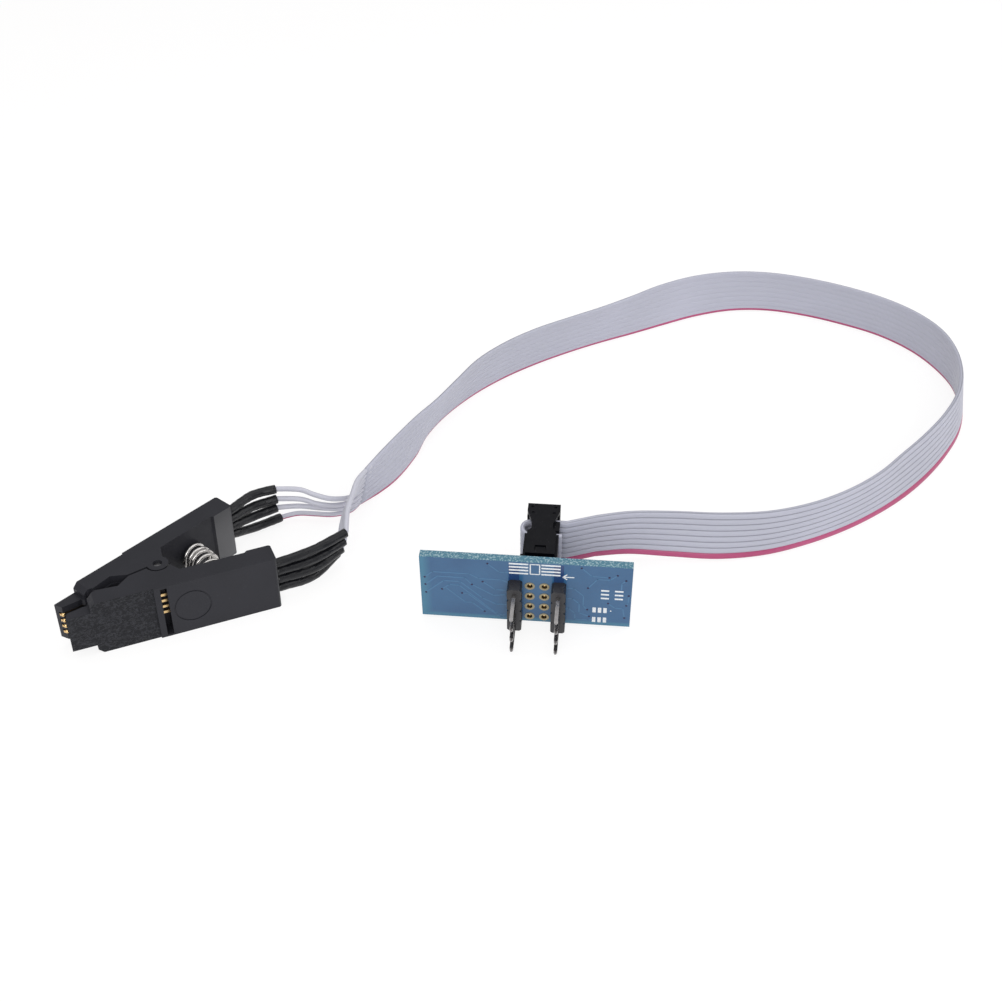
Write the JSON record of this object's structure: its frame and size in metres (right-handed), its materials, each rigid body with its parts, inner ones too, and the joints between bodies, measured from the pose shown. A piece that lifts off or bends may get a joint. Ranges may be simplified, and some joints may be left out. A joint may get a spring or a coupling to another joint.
{
  "type": "ic test clip",
  "caption": "Spring clip with gold contacts that grips a small surface-mount chip, wired by flat ribbon cable to a box socket and a plug-in adapter board.",
  "frame": {"origin": "middle of the clip's base, under the hinge; the clip lies on its side", "axes": "+Z along the hinge pin, -X where the jaws point, +Y across the two levers"},
  "size_m": [0.1965, 0.0849, 0.0153],
  "materials": {
    "black_plastic": "satin moulded, fine grain on the front faces",
    "pin_steel": "plain",
    "spring_steel": "bright drawn wire",
    "gold": "gold flash",
    "tin": "bright tin",
    "sleeving": "shrunk, slightly wrinkled",
    "ribbon_pvc": "ribbed, soft sheen",
    "red_pvc": "soft sheen",
    "board": "blue solder mask",
    "header_plastic": "satin"
  },
  "bodies": {
    "right_lever_and_cable": {"right_lever": "black_plastic", "hinge_pin": "pin_steel", "spring": "spring_steel", "contact_right_1": "gold", "contact_right_2": "gold", "contact_right_3": "gold", "contact_right_4": "gold", "sleeve_right_1": "sleeving", "sleeve_right_2": "sleeving", "sleeve_right_3": "sleeving", "sleeve_right_4": "sleeving", "strand_left_1": "red_pvc", "strand_left_2": "ribbon_pvc", "strand_left_3": "ribbon_pvc", "strand_left_4": "ribbon_pvc", "strand_right_1": "ribbon_pvc", "strand_right_2": "ribbon_pvc", "strand_right_3": "ribbon_pvc", "strand_right_4": "ribbon_pvc", "ribbon_cable": "ribbon_pvc", "socket_body": "header_plastic", "socket_cover": "header_plastic", "strain_relief": "header_plastic", "socket_contacts": "gold"},
    "left_lever_body": {"left_lever": "black_plastic", "contact_left_1": "gold", "contact_left_2": "gold", "contact_left_3": "gold", "contact_left_4": "gold", "sleeve_left_1": "sleeving", "sleeve_left_2": "sleeving", "sleeve_left_3": "sleeving", "sleeve_left_4": "sleeving"},
    "adapter": {"adapter_board": "board", "plated_holes": "gold", "cable_header": "header_plastic", "cable_pins": "gold", "left_header": "header_plastic", "left_pins": "tin", "right_header": "header_plastic", "right_pins": "tin"}
  },
  "joints": [
    {"name": "jaw_hinge", "type": "hinge", "parent": "right_lever_and_cable", "child": "left_lever_body", "pos_m": [0.00006, 0, 0.0055], "axis": [0, 0, 1], "range_deg": [-20, 0], "stiffness_Nm_per_rad": 0.05, "springref_deg": 28.65, "deforming": ["spring"]},
    {"name": "board_plug", "type": "slide", "parent": "right_lever_and_cable", "child": "adapter", "axis": [-0.6629, -0.7414, -0.1045], "range_m": [0, 0.0055]}
  ]
}
